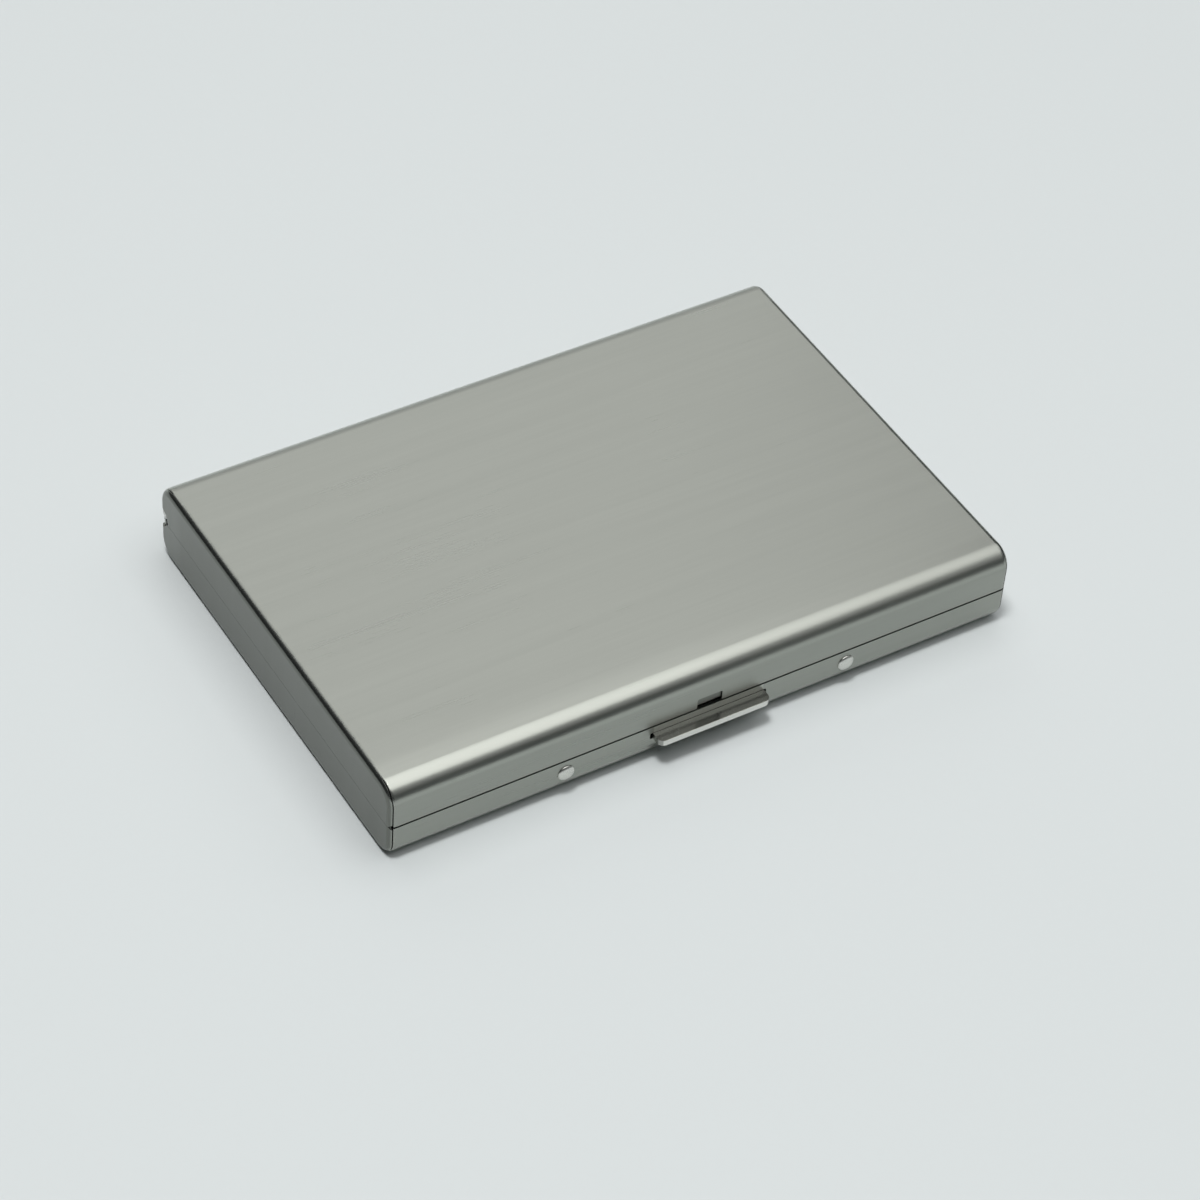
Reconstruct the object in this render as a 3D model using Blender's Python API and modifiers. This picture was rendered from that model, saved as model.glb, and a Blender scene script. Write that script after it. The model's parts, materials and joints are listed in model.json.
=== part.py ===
"""Slim steel card case: two folded half shells, a rear hinge, a riveted push latch and a six-pocket accordion.

Metres, +Z up. X runs along the hinge, the latch is at -Y and the hinge at +Y. The origin is the centre of
the tray's underside.
"""

import math

import bmesh
import bpy
from mathutils import Matrix, Vector

MM = 0.001

# Outer case
LENGTH = 97.0 * MM
WIDTH = 66.5 * MM
HEIGHT = 12.7 * MM
PARTING = 6.2 * MM
SHEET = 0.5 * MM
LONG_BEND = 3.1 * MM
END_BEND = 1.0 * MM
LONG_BEND_STEPS = 6
END_BEND_STEPS = 3
END_GAP = 0.04 * MM
FRONT_GAP = 0.3 * MM
SEAM_GAP = 0.14 * MM
NOTCH_CHAMFER = 0.6 * MM
REACH = 8.0 * MM

# Hinge
HINGE_Y = WIDTH / 2 - 1.0 * MM
HINGE_Z = PARTING + 1.0 * MM
PIN_RADIUS = 0.45 * MM
BORE_RADIUS = 0.50 * MM
KNUCKLE_RADIUS = 0.82 * MM
KNUCKLES = 9
KNUCKLE_GAP = 0.1 * MM
HINGE_LENGTH = 96.4 * MM
LEAF_HALF = 47.7 * MM
LEAF_SHEET = 0.35 * MM
LEAF_FACE = WIDTH / 2 - SHEET - 0.08 * MM
ROUND_SIDES = 24

# Latch
RIVET_X = 22.05 * MM
RIVET_Z = 3.9 * MM
RIVET_HEAD = 1.25 * MM
RIVET_SHANK = 0.6 * MM
RIVET_HOLE = 0.66 * MM
TAB_HALF = 8.75 * MM
TAB_LOW = 4.05 * MM
TAB_SHEET = 0.9 * MM
TAB_REACH = 2.05 * MM
TAB_CORNER = 1.0 * MM
SLOT_SIDE = 0.4 * MM
SLOT_PLAY = 0.25 * MM
HOOK_HALF = 1.6 * MM
LIP_NOTCH_HALF = 1.95 * MM
LIP_NOTCH_TOP = 7.55 * MM
FLAP_RECESS = 0.4 * MM
FLAP_SHEET = 0.45 * MM
FLAP_LOW = 6.55 * MM
TONGUE_REACH = 1.65 * MM
SPRING_SHEET = 0.28 * MM
SPRING_HALF = 25.0 * MM
SPRING_LOW = 2.75 * MM
SPRING_HIGH = 5.7 * MM

# Card pockets
POCKETS = 6
WALL_HALF = 47.0 * MM
WALL_FRONT = -29.9 * MM
WALL_REAR = 28.2 * MM
WALL_SHEET = 0.3 * MM
WALL_CORNER = 2.0 * MM
LOWEST_WALL = 1.0 * MM
HIGHEST_WALL = HEIGHT - 1.0 * MM
PITCH = (HIGHEST_WALL - LOWEST_WALL) / POCKETS
TAPE_SHEET = 0.25 * MM
TAPE_MARGIN = 4.0 * MM
GUSSET_SHEET = 0.12 * MM
GUSSET_FRONT = -15.5 * MM
GUSSET_REAR = 27.8 * MM
GUSSET_DEPTH_FRONT = 5.0 * MM
GUSSET_DEPTH_REAR = 0.9 * MM
TOUCH = 0.05 * MM

FRONT_FACE = -WIDTH / 2
FRONT_INSIDE = FRONT_FACE + SHEET


def clear_scene():
    """Remove every object that the file starts with."""
    for obj in list(bpy.data.objects):
        bpy.data.objects.remove(obj, do_unlink=True)


def new_collection(name):
    """A collection linked to the scene."""
    made = bpy.data.collections.new(name)
    bpy.context.scene.collection.children.link(made)
    return made


def material(name, colour, roughness, metallic):
    """A Principled material of one colour."""
    made = bpy.data.materials.new(name)
    made.use_nodes = True
    shader = made.node_tree.nodes["Principled BSDF"]
    shader.inputs["Base Color"].default_value = (*colour, 1.0)
    shader.inputs["Roughness"].default_value = roughness
    shader.inputs["Metallic"].default_value = metallic
    return made


def steel_material(name):
    """Satin hairline stainless steel."""
    return material(name, (0.60, 0.61, 0.58), 0.32, 1.0)


def spring_steel_material(name):
    """Darker rolled spring steel."""
    return material(name, (0.42, 0.43, 0.42), 0.38, 1.0)


def pocket_material(name):
    """Black soft plastic sheet."""
    return material(name, (0.03, 0.03, 0.032), 0.55, 0.0)


def tape_material(name):
    """Pale adhesive sheet."""
    return material(name, (0.62, 0.60, 0.54), 0.7, 0.0)


def mesh_object(name, shape, collection):
    """An object of the bmesh shape, which is freed."""
    mesh = bpy.data.meshes.new(name)
    shape.to_mesh(mesh)
    shape.free()
    obj = bpy.data.objects.new(name, mesh)
    collection.objects.link(obj)
    return obj


def box(name, low, high, collection):
    """A box between two corners."""
    low, high = Vector(low), Vector(high)
    size = high - low
    place = Matrix.Translation((low + high) / 2) @ Matrix.Diagonal((*size, 1.0))
    shape = bmesh.new()
    bmesh.ops.create_cube(shape, size=1.0, matrix=place)
    return mesh_object(name, shape, collection)


def rod_x(name, radius, start, end, collection):
    """A cylinder along X on the hinge axis."""
    middle = Matrix.Translation(((start + end) / 2, HINGE_Y, HINGE_Z))
    shape = bmesh.new()
    bmesh.ops.create_cone(
        shape, cap_ends=True, segments=ROUND_SIDES, radius1=radius, radius2=radius,
        depth=end - start, matrix=middle @ Matrix.Rotation(math.pi / 2, 4, "Y"),
    )
    return mesh_object(name, shape, collection)


def outline(name, points, half_depth, turn, collection):
    """A flat closed outline extruded both ways, turned into place and made a welded mesh."""
    curve = bpy.data.curves.new(name, "CURVE")
    curve.dimensions = "2D"
    curve.fill_mode = "BOTH"
    curve.extrude = half_depth
    spline = curve.splines.new("POLY")
    spline.points.add(len(points) - 1)
    for point, (across, up) in zip(spline.points, points):
        point.co = (across, up, 0.0, 1.0)
    spline.use_cyclic_u = True
    guide = bpy.data.objects.new(name + "_outline", curve)
    collection.objects.link(guide)
    guide.matrix_world = turn
    bpy.context.view_layer.update()
    graph = bpy.context.evaluated_depsgraph_get()
    mesh = bpy.data.meshes.new_from_object(guide.evaluated_get(graph))
    bpy.data.objects.remove(guide)
    bpy.data.curves.remove(curve)
    shape = bmesh.new()
    shape.from_mesh(mesh)
    bpy.data.meshes.remove(mesh)
    bmesh.ops.remove_doubles(shape, verts=shape.verts, dist=1e-7)
    bmesh.ops.transform(shape, matrix=turn, verts=shape.verts)
    bmesh.ops.recalc_face_normals(shape, faces=shape.faces)
    return mesh_object(name, shape, collection)


def side_outline(name, points, start, end, collection):
    """An outline given as (y, z) points and extruded along X from start to end."""
    turn = Matrix.Translation(((start + end) / 2, 0.0, 0.0)) @ Matrix(
        ((0, 0, 1, 0), (1, 0, 0, 0), (0, 1, 0, 0), (0, 0, 0, 1))
    )
    return outline(name, points, (end - start) / 2, turn, collection)


def flat_outline(name, points, low, high, collection):
    """An outline given as (x, y) points and extruded along Z from low to high."""
    turn = Matrix.Translation((0.0, 0.0, (low + high) / 2))
    return outline(name, points, (high - low) / 2, turn, collection)


def arc(centre, radius, start, end, steps):
    """Points on an arc, with angles in degrees."""
    angles = [math.radians(start + (end - start) * i / steps) for i in range(steps + 1)]
    return [(centre[0] + radius * math.cos(a), centre[1] + radius * math.sin(a)) for a in angles]


def combine(obj, other, operation):
    """Add a Boolean with another object, which is kept as a hidden guide."""
    other.hide_render = True
    other.display_type = "WIRE"
    step = obj.modifiers.new(other.name, "BOOLEAN")
    step.operation = operation
    step.object = other
    step.solver = "EXACT"


def cut(obj, cutter):
    """Take the cutter away from the object."""
    combine(obj, cutter, "DIFFERENCE")


def join(obj, other):
    """Join the other shape to the object."""
    combine(obj, other, "UNION")


def finish(obj, made_material):
    """Give the object its material and smooth shading with sharp corners."""
    obj.data.materials.append(made_material)
    obj.data.shade_smooth()
    obj.data.set_sharp_from_angle(angle=math.radians(35))
    return obj


def bend_edges(shape, wanted, radius, steps):
    """Round the edges that the test accepts."""
    edges = [edge for edge in shape.edges if wanted(*(vert.co for vert in edge.verts))]
    bmesh.ops.bevel(
        shape, geom=edges, offset=radius, offset_type="OFFSET", segments=steps,
        profile=0.5, affect="EDGES", clamp_overlap=False,
    )


def half_shell(name, upper, collection):
    """One folded half: the rounded case cut at the parting plane, opened there and given its thickness."""
    shape = bmesh.new()
    place = Matrix.Translation((0.0, 0.0, HEIGHT / 2)) @ Matrix.Diagonal((LENGTH, WIDTH, HEIGHT, 1.0))
    bmesh.ops.create_cube(shape, size=1.0, matrix=place)
    bend_edges(shape, lambda a, b: abs(a.x - b.x) > REACH, LONG_BEND, LONG_BEND_STEPS)
    tiny = END_GAP
    bend_edges(
        shape, lambda a, b: abs(a.x - b.x) < tiny and abs(a.x) > LENGTH / 2 - tiny, END_BEND, END_BEND_STEPS
    )
    level = PARTING + (END_GAP / 2 if upper else -END_GAP / 2)
    cut_geometry = shape.verts[:] + shape.edges[:] + shape.faces[:]
    bmesh.ops.bisect_plane(
        shape, geom=cut_geometry, dist=1e-8, plane_co=(0.0, 0.0, level), plane_no=(0.0, 0.0, 1.0),
        clear_inner=upper, clear_outer=not upper,
    )
    bmesh.ops.recalc_face_normals(shape, faces=shape.faces)
    top_face = max(shape.faces, key=lambda face: face.calc_area())
    if (top_face.normal.z > 0) != upper:
        bmesh.ops.reverse_faces(shape, faces=shape.faces)
    obj = mesh_object(name, shape, collection)
    wall = obj.modifiers.new("sheet", "SOLIDIFY")
    wall.thickness = SHEET
    wall.offset = -1.0
    wall.use_even_offset = True
    return obj


def cut_corner_seams(shell, guides):
    """Part the long walls and their bends from the end flanges at the four corners."""
    outer = LENGTH / 2 - SHEET + 0.02 * MM
    inner = outer - SEAM_GAP
    start = WIDTH / 2 - LONG_BEND
    for side_x in (-1, 1):
        for side_y in (-1, 1):
            xs = sorted((side_x * inner, side_x * outer))
            ys = sorted((side_y * start, side_y * (WIDTH / 2 + REACH)))
            cutter = box(
                f"{shell.name}_seam", (xs[0], ys[0], -REACH), (xs[1], ys[1], HEIGHT + REACH), guides
            )
            cut(shell, cutter)


def trim_front_lip(shell, upper, guides):
    """Take the front wall back from the parting plane, between the seams."""
    reach = LENGTH / 2 - SHEET - SEAM_GAP / 2
    edge = PARTING + (FRONT_GAP / 2 if upper else -FRONT_GAP / 2)
    far = PARTING - (REACH if upper else -REACH)
    low, high = sorted((edge, far))
    cut(shell, box(
        f"{shell.name}_lip", (-reach, FRONT_FACE - REACH, low), (reach, FRONT_FACE + 1.5 * MM, high), guides
    ))


def chamfer_front_corners(shell, guides):
    """Cut the small V where the end flanges meet at the front."""
    points = [
        (FRONT_FACE - NOTCH_CHAMFER, PARTING - 2 * NOTCH_CHAMFER),
        (FRONT_FACE + NOTCH_CHAMFER, PARTING),
        (FRONT_FACE - NOTCH_CHAMFER, PARTING + 2 * NOTCH_CHAMFER),
    ]
    inner = LENGTH / 2 - SHEET - SEAM_GAP / 2
    for side, (start, end) in enumerate(((-LENGTH / 2 - REACH, -inner), (inner, LENGTH / 2 + REACH))):
        cut(shell, side_outline(f"{shell.name}_corner_{side}", points, start, end, guides))


def lid_shell(parts, guides):
    """The upper half shell, with its rear cut back over the hinge and the catch flap in its front lip."""
    shell = half_shell("lid_shell", True, parts)
    cut_corner_seams(shell, guides)
    trim_front_lip(shell, True, guides)
    chamfer_front_corners(shell, guides)
    rear = [
        (HINGE_Y - 1.46 * MM, PARTING - 0.2 * MM),
        (HINGE_Y - 0.9 * MM, HINGE_Z + 0.55 * MM),
        (HINGE_Y - 0.05 * MM, HINGE_Z + 1.05 * MM),
        (HINGE_Y + REACH, HINGE_Z + 1.05 * MM),
        (HINGE_Y + REACH, PARTING - 0.2 * MM),
    ]
    cut(shell, side_outline("lid_rear_cut", rear, -LENGTH, LENGTH, guides))
    cut(shell, box(
        "lip_notch",
        (-LIP_NOTCH_HALF, FRONT_FACE - REACH, PARTING - REACH),
        (LIP_NOTCH_HALF, FRONT_FACE + 1.2 * MM, LIP_NOTCH_TOP),
        guides,
    ))
    half = LIP_NOTCH_HALF - 0.2 * MM
    flap_front = FRONT_FACE + FLAP_RECESS
    join(shell, box(
        "catch_flap",
        (-half, flap_front, FLAP_LOW),
        (half, flap_front + FLAP_SHEET, LIP_NOTCH_TOP + FLAP_SHEET),
        guides,
    ))
    join(shell, box(
        "catch_tongue",
        (-half, flap_front + FLAP_SHEET / 2, FLAP_LOW),
        (half, FRONT_FACE + TONGUE_REACH, FLAP_LOW + FLAP_SHEET),
        guides,
    ))
    return finish(shell, steel_material("lid_steel"))


def tray_shell(parts, guides):
    """The lower half shell, with its rear flange corners cut back, the tab slot and two rivet holes."""
    shell = half_shell("tray_shell", False, parts)
    cut_corner_seams(shell, guides)
    trim_front_lip(shell, False, guides)
    chamfer_front_corners(shell, guides)
    rear = [
        (HINGE_Y - 1.35 * MM, PARTING + 0.2 * MM),
        (HINGE_Y - 0.05 * MM, PARTING - 1.25 * MM),
        (HINGE_Y + REACH, PARTING - 1.25 * MM),
        (HINGE_Y + REACH, PARTING + 0.2 * MM),
    ]
    inner = LENGTH / 2 - SHEET - SEAM_GAP / 2
    for side, (start, end) in enumerate(((-LENGTH / 2 - REACH, -inner), (inner, LENGTH / 2 + REACH))):
        cut(shell, side_outline(f"tray_rear_cut_{side}", rear, start, end, guides))
    cut(shell, box(
        "tab_slot",
        (-TAB_HALF - SLOT_SIDE, FRONT_FACE - REACH, TAB_LOW - SLOT_PLAY),
        (TAB_HALF + SLOT_SIDE, FRONT_FACE + 1.2 * MM, TAB_LOW + TAB_SHEET + SLOT_PLAY),
        guides,
    ))
    for side in (-1, 1):
        cut(shell, rivet_hole(f"tray_rivet_hole_{side}", side * RIVET_X, guides))
    return finish(shell, steel_material("tray_steel"))


def rivet_hole(name, across, guides):
    """A short cutter along Y on a rivet's axis."""
    place = Matrix.Translation((across, FRONT_FACE + 0.5 * MM, RIVET_Z))
    shape = bmesh.new()
    bmesh.ops.create_cone(
        shape, cap_ends=True, segments=ROUND_SIDES, radius1=RIVET_HOLE, radius2=RIVET_HOLE,
        depth=2.4 * MM, matrix=place @ Matrix.Rotation(math.pi / 2, 4, "X"),
    )
    return mesh_object(name, shape, guides)


def knuckle_spans(first):
    """Start and end along X of every second knuckle, from the given one."""
    pitch = HINGE_LENGTH / KNUCKLES
    starts = [-HINGE_LENGTH / 2 + i * pitch for i in range(first, KNUCKLES, 2)]
    return [(start + KNUCKLE_GAP / 2, start + pitch - KNUCKLE_GAP / 2) for start in starts]


def add_knuckles(leaf, first, riser_low, riser_high, guides):
    """Join the rolled knuckles and their risers to a hinge leaf, then bore them for the pin."""
    for start, end in knuckle_spans(first):
        riser_face = (LEAF_FACE - LEAF_SHEET, LEAF_FACE)
        join(leaf, box(
            f"{leaf.name}_riser", (start, riser_face[0], riser_low), (end, riser_face[1], riser_high), guides
        ))
        join(leaf, rod_x(f"{leaf.name}_knuckle", KNUCKLE_RADIUS, start, end, guides))
    cut(leaf, rod_x(f"{leaf.name}_bore", BORE_RADIUS, -LENGTH, LENGTH, guides))


def tray_hinge_leaf(parts, guides):
    """The lower hinge leaf: a strip inside the tray's rear wall and its knuckles."""
    strip = box(
        "tray_hinge_leaf",
        (-LEAF_HALF, LEAF_FACE - LEAF_SHEET, LONG_BEND - 0.1 * MM),
        (LEAF_HALF, LEAF_FACE, PARTING - 0.02 * MM),
        parts,
    )
    add_knuckles(strip, 0, PARTING - 0.4 * MM, HINGE_Z - 0.1 * MM, guides)
    return finish(strip, spring_steel_material("tray_hinge_steel"))


def lid_hinge_leaf(parts, guides):
    """The upper hinge leaf: a strip that follows the lid's rear bend, and its knuckles."""
    centre = (WIDTH / 2 - LONG_BEND, HEIGHT - LONG_BEND)
    outer = LEAF_FACE - centre[0]
    inner = outer - LEAF_SHEET
    sweep = 50
    steps = 5
    low = HINGE_Z + KNUCKLE_RADIUS + 0.15 * MM
    points = [(centre[0] + inner, low), (centre[0] + outer, low)]
    points += arc(centre, outer, 0, sweep, steps)
    points += arc(centre, inner, sweep, 0, steps)
    strip = side_outline("lid_hinge_leaf", points, -LEAF_HALF, LEAF_HALF, parts)
    add_knuckles(strip, 1, HINGE_Z + 0.1 * MM, low + 0.3 * MM, guides)
    return finish(strip, spring_steel_material("lid_hinge_steel"))


def hinge_pin(parts):
    """The wire that the knuckles turn on."""
    pin = rod_x("hinge_pin", PIN_RADIUS, -HINGE_LENGTH / 2 - TOUCH, HINGE_LENGTH / 2 + TOUCH, parts)
    return finish(pin, steel_material("pin_steel"))


def rivet(name, across, parts):
    """A dome-headed rivet through the front wall and the spring, turned about its own axis."""
    inside = FRONT_INSIDE + TOUCH + SPRING_SHEET + 0.04 * MM
    under_head = FRONT_FACE - 0.02 * MM
    dome_height = 0.45 * MM
    steps = 5
    dome = [
        (RIVET_HEAD * math.sin(math.pi / 2 * i / steps), under_head - dome_height * math.cos(math.pi / 2 * i / steps))
        for i in range(steps + 1)
    ]
    tail = [
        (RIVET_SHANK, under_head), (RIVET_SHANK, inside), (1.0 * MM, inside),
        (1.0 * MM, inside + 0.25 * MM), (0.0, inside + 0.25 * MM),
    ]
    shape = bmesh.new()
    verts = [shape.verts.new((radius, along, 0.0)) for radius, along in dome + tail]
    for first, second in zip(verts, verts[1:]):
        shape.edges.new((first, second))
    obj = mesh_object(name, shape, parts)
    obj.location = (across, 0.0, RIVET_Z)
    turned = obj.modifiers.new("turned", "SCREW")
    turned.axis = "Y"
    turned.steps = ROUND_SIDES
    turned.render_steps = ROUND_SIDES
    turned.use_merge_vertices = True
    turned.merge_threshold = 0.00001
    turned.use_normal_flip = True
    return finish(obj, steel_material(name + "_steel"))


def latch_spring(parts, guides):
    """The leaf spring: a strip behind the front wall with a window for the tab and two rivet holes."""
    low_y = FRONT_INSIDE + TOUCH
    high_y = low_y + SPRING_SHEET
    strip = box(
        "latch_spring", (-SPRING_HALF, low_y, SPRING_LOW), (SPRING_HALF, high_y, SPRING_HIGH), parts
    )
    cut(strip, box(
        "spring_window",
        (-TAB_HALF - SLOT_SIDE, low_y - REACH, TAB_LOW - 0.35 * MM),
        (TAB_HALF + SLOT_SIDE, high_y + REACH, TAB_LOW + TAB_SHEET + 0.3 * MM),
        guides,
    ))
    for side in (-1, 1):
        cut(strip, rivet_hole(f"spring_rivet_hole_{side}", side * RIVET_X, guides))
    return finish(strip, spring_steel_material("spring_steel"))


def thumb_latch(parts, guides):
    """The moving latch: thumb tab, carrier plate behind the spring, and the hook that holds the lid's tongue."""
    back = FRONT_INSIDE + TOUCH + SPRING_SHEET + 0.06 * MM
    carrier = 0.45 * MM
    front = FRONT_FACE - TAB_REACH
    corner = TAB_CORNER
    outline_points = [(TAB_HALF, back + carrier / 2), (-TAB_HALF, back + carrier / 2)]
    outline_points += arc((-TAB_HALF + corner, front + corner), corner, 180, 270, 5)
    outline_points += arc((TAB_HALF - corner, front + corner), corner, 270, 360, 5)
    tab = flat_outline("thumb_latch", outline_points, TAB_LOW, TAB_LOW + TAB_SHEET, parts)
    join(tab, box(
        "latch_carrier",
        (-TAB_HALF - 0.1 * MM, back, TAB_LOW - 1.05 * MM),
        (TAB_HALF + 0.1 * MM, back + carrier, TAB_LOW + 1.75 * MM),
        guides,
    ))
    foot_front, foot_back = back + 0.01 * MM, back + carrier - 0.01 * MM
    stem_front = FRONT_FACE + TONGUE_REACH + 0.1 * MM
    stem_back = stem_front + carrier
    nose = FRONT_FACE + FLAP_RECESS + FLAP_SHEET + 0.15 * MM
    ledge = FLAP_LOW + FLAP_SHEET + 0.08 * MM
    hook = [
        (foot_front, TAB_LOW + 1.5 * MM), (foot_back, TAB_LOW + 1.5 * MM), (stem_back, PARTING - 0.1 * MM),
        (stem_back, ledge + 0.65 * MM), (stem_front, ledge + 0.65 * MM), (nose, ledge + 0.2 * MM), (nose, ledge),
        (stem_front, ledge), (stem_front, PARTING + 0.1 * MM), (foot_front, TAB_LOW + 1.7 * MM),
    ]
    join(tab, side_outline("latch_hook", hook, -HOOK_HALF, HOOK_HALF, guides))
    return finish(tab, steel_material("latch_steel"))


def wall_level(index):
    """Height of the middle of a pocket wall."""
    return LOWEST_WALL + index * PITCH


def pocket_wall(index, parts):
    """One pocket wall with rounded front corners, its origin on the hinge axis."""
    corner = WALL_CORNER
    points = [(WALL_HALF, WALL_REAR), (-WALL_HALF, WALL_REAR)]
    points += arc((-WALL_HALF + corner, WALL_FRONT + corner), corner, 180, 270, 4)
    points += arc((WALL_HALF - corner, WALL_FRONT + corner), corner, 270, 360, 4)
    level = wall_level(index)
    wall = flat_outline(
        f"pocket_wall_{index}", points, level - WALL_SHEET / 2, level + WALL_SHEET / 2, parts
    )
    return finish(wall, pocket_material(f"pocket_sheet_{index}"))


def pocket_gusset(side, index, parts):
    """A pocket's folded end: a V-shaped sheet whose fold grows deeper towards the front."""
    gap = WALL_SHEET / 2 + GUSSET_SHEET / 2 + TOUCH
    low, high = wall_level(index - 1) + gap, wall_level(index) - gap
    edge = WALL_HALF - 0.1 * MM
    shape = bmesh.new()
    bmesh.ops.create_grid(shape, x_segments=2, y_segments=1, size=1.0)
    for vert in shape.verts:
        front = vert.co.y < 0
        depth = GUSSET_DEPTH_FRONT if front else GUSSET_DEPTH_REAR
        level = vert.co.x
        vert.co = Vector((
            side * (edge - depth * (1 - abs(level))),
            GUSSET_FRONT if front else GUSSET_REAR,
            (low + high) / 2 + level * (high - low) / 2,
        ))
    if side > 0:
        bmesh.ops.reverse_faces(shape, faces=shape.faces)
    name = f"{'right' if side > 0 else 'left'}_gusset_{index}"
    obj = mesh_object(name, shape, parts)
    sheet = obj.modifiers.new("sheet", "SOLIDIFY")
    sheet.thickness = GUSSET_SHEET
    sheet.offset = 0.0
    return finish(obj, pocket_material(name + "_sheet"))


def pocket_spine(index, parts):
    """The strip that closes a pocket towards the hinge."""
    name = f"pocket_spine_{index}"
    strip = box(
        name,
        (-WALL_HALF, WALL_REAR + TOUCH, wall_level(index - 1) + TOUCH),
        (WALL_HALF, WALL_REAR + TOUCH + GUSSET_SHEET, wall_level(index) - TOUCH),
        parts,
    )
    return finish(strip, pocket_material(name + "_sheet"))


def tape(name, low, parts):
    """An adhesive sheet between a shell and its pocket wall."""
    sheet = box(
        name,
        (-WALL_HALF + TAPE_MARGIN, WALL_FRONT + TAPE_MARGIN, low),
        (WALL_HALF - TAPE_MARGIN, WALL_REAR - TAPE_MARGIN, low + TAPE_SHEET),
        parts,
    )
    return finish(sheet, tape_material(name + "_adhesive"))


def hang_on_hinge(objects, parts):
    """Parent the pieces that turn with the lid to an empty on the hinge axis."""
    axis = bpy.data.objects.new("hinge_axis", None)
    axis.location = (0.0, HINGE_Y, HINGE_Z)
    parts.objects.link(axis)
    bpy.context.view_layer.update()
    for obj in objects:
        obj.parent = axis
        obj.matrix_parent_inverse = axis.matrix_world.inverted()


def main():
    """Build the case."""
    clear_scene()
    parts = new_collection("card_case")
    guides = new_collection("guides")
    tray_shell(parts, guides)
    lid = lid_shell(parts, guides)
    tray_hinge_leaf(parts, guides)
    upper_leaf = lid_hinge_leaf(parts, guides)
    hinge_pin(parts)
    latch_spring(parts, guides)
    thumb_latch(parts, guides)
    rivet("left_rivet", -RIVET_X, parts)
    rivet("right_rivet", RIVET_X, parts)
    tape("tray_tape", SHEET + TOUCH, parts)
    lid_tape = tape("lid_tape", HEIGHT - SHEET - TOUCH - TAPE_SHEET, parts)
    walls = [pocket_wall(index, parts) for index in range(POCKETS + 1)]
    for index in range(1, POCKETS + 1):
        pocket_gusset(-1, index, parts)
        pocket_gusset(1, index, parts)
        pocket_spine(index, parts)
    hang_on_hinge([lid, upper_leaf, lid_tape, *walls[1:]], parts)


main()
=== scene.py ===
"""Looks of the hairline steel card case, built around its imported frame.

Metres, +Z up. X runs along the hinge, the latch is at -Y and the hinge at +Y.
"""

import json
import logging
import math
from dataclasses import dataclass, field
from enum import Enum
from typing import Any, Callable, Iterable, Sequence

import bmesh
import bpy
from mathutils import Matrix, Vector


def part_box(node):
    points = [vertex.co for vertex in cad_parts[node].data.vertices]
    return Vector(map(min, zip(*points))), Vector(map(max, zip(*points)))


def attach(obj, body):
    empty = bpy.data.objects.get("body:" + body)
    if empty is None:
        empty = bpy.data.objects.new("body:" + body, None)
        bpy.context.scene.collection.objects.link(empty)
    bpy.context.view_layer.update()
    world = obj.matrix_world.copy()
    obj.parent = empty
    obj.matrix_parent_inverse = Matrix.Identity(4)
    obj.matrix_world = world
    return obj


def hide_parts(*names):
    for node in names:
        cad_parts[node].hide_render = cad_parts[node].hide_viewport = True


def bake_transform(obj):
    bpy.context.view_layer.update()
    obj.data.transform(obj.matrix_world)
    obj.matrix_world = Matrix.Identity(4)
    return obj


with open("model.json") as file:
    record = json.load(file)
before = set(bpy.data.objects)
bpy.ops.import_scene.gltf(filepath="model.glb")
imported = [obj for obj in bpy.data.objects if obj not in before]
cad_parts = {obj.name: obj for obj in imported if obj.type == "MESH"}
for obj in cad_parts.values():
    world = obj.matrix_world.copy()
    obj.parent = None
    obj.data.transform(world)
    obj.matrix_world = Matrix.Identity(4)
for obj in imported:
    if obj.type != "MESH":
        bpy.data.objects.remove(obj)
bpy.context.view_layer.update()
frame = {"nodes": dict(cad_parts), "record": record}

log = logging.getLogger("card_case")

MM = 0.001
HAIR = 1e-6
Point = Sequence[float]


# ---------------------------------------------------------------- shader tools


class Wire:
    """A socket of a shader tree whose arithmetic adds Math nodes."""

    def __init__(self, graph: "Graph", socket: bpy.types.NodeSocket) -> None:
        """Keep the tree and the socket."""
        self.graph = graph
        self.socket = socket

    def math(self, operation: str, *others: Any) -> "Wire":
        """Return the result of a Math node.

        Args:
            operation: The Math node's operation.
            others: The values or wires of its other sockets.

        Returns:
            The node's result.
        """
        inputs = dict(enumerate((self, *others)))
        return self.graph.wire(self.graph.node("ShaderNodeMath", {"operation": operation}, inputs))

    def clamped(self) -> "Wire":
        """Return the value held between 0 and 1."""
        return self.math("MINIMUM", 1.0).math("MAXIMUM", 0.0)

    def past(self, start: float, width: float) -> "Wire":
        """Return a straight rise from 0 at the start to 1 a width further on."""
        return ((self - start) * (1.0 / width)).clamped()

    def below(self, limit: float) -> "Wire":
        """Return 1 where the value is below the limit, and else 0."""
        return self.math("LESS_THAN", limit)

    def above(self, limit: float) -> "Wire":
        """Return 1 where the value is above the limit, and else 0."""
        return self.math("GREATER_THAN", limit)

    def __add__(self, other: Any) -> "Wire":
        """Add."""
        return self.math("ADD", other)

    __radd__ = __add__

    def __sub__(self, other: Any) -> "Wire":
        """Subtract."""
        return self.math("SUBTRACT", other)

    def __rsub__(self, other: float) -> "Wire":
        """Subtract from a number."""
        return self.math("MULTIPLY", -1.0).math("ADD", other)

    def __mul__(self, other: Any) -> "Wire":
        """Multiply."""
        return self.math("MULTIPLY", other)

    __rmul__ = __mul__


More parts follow.
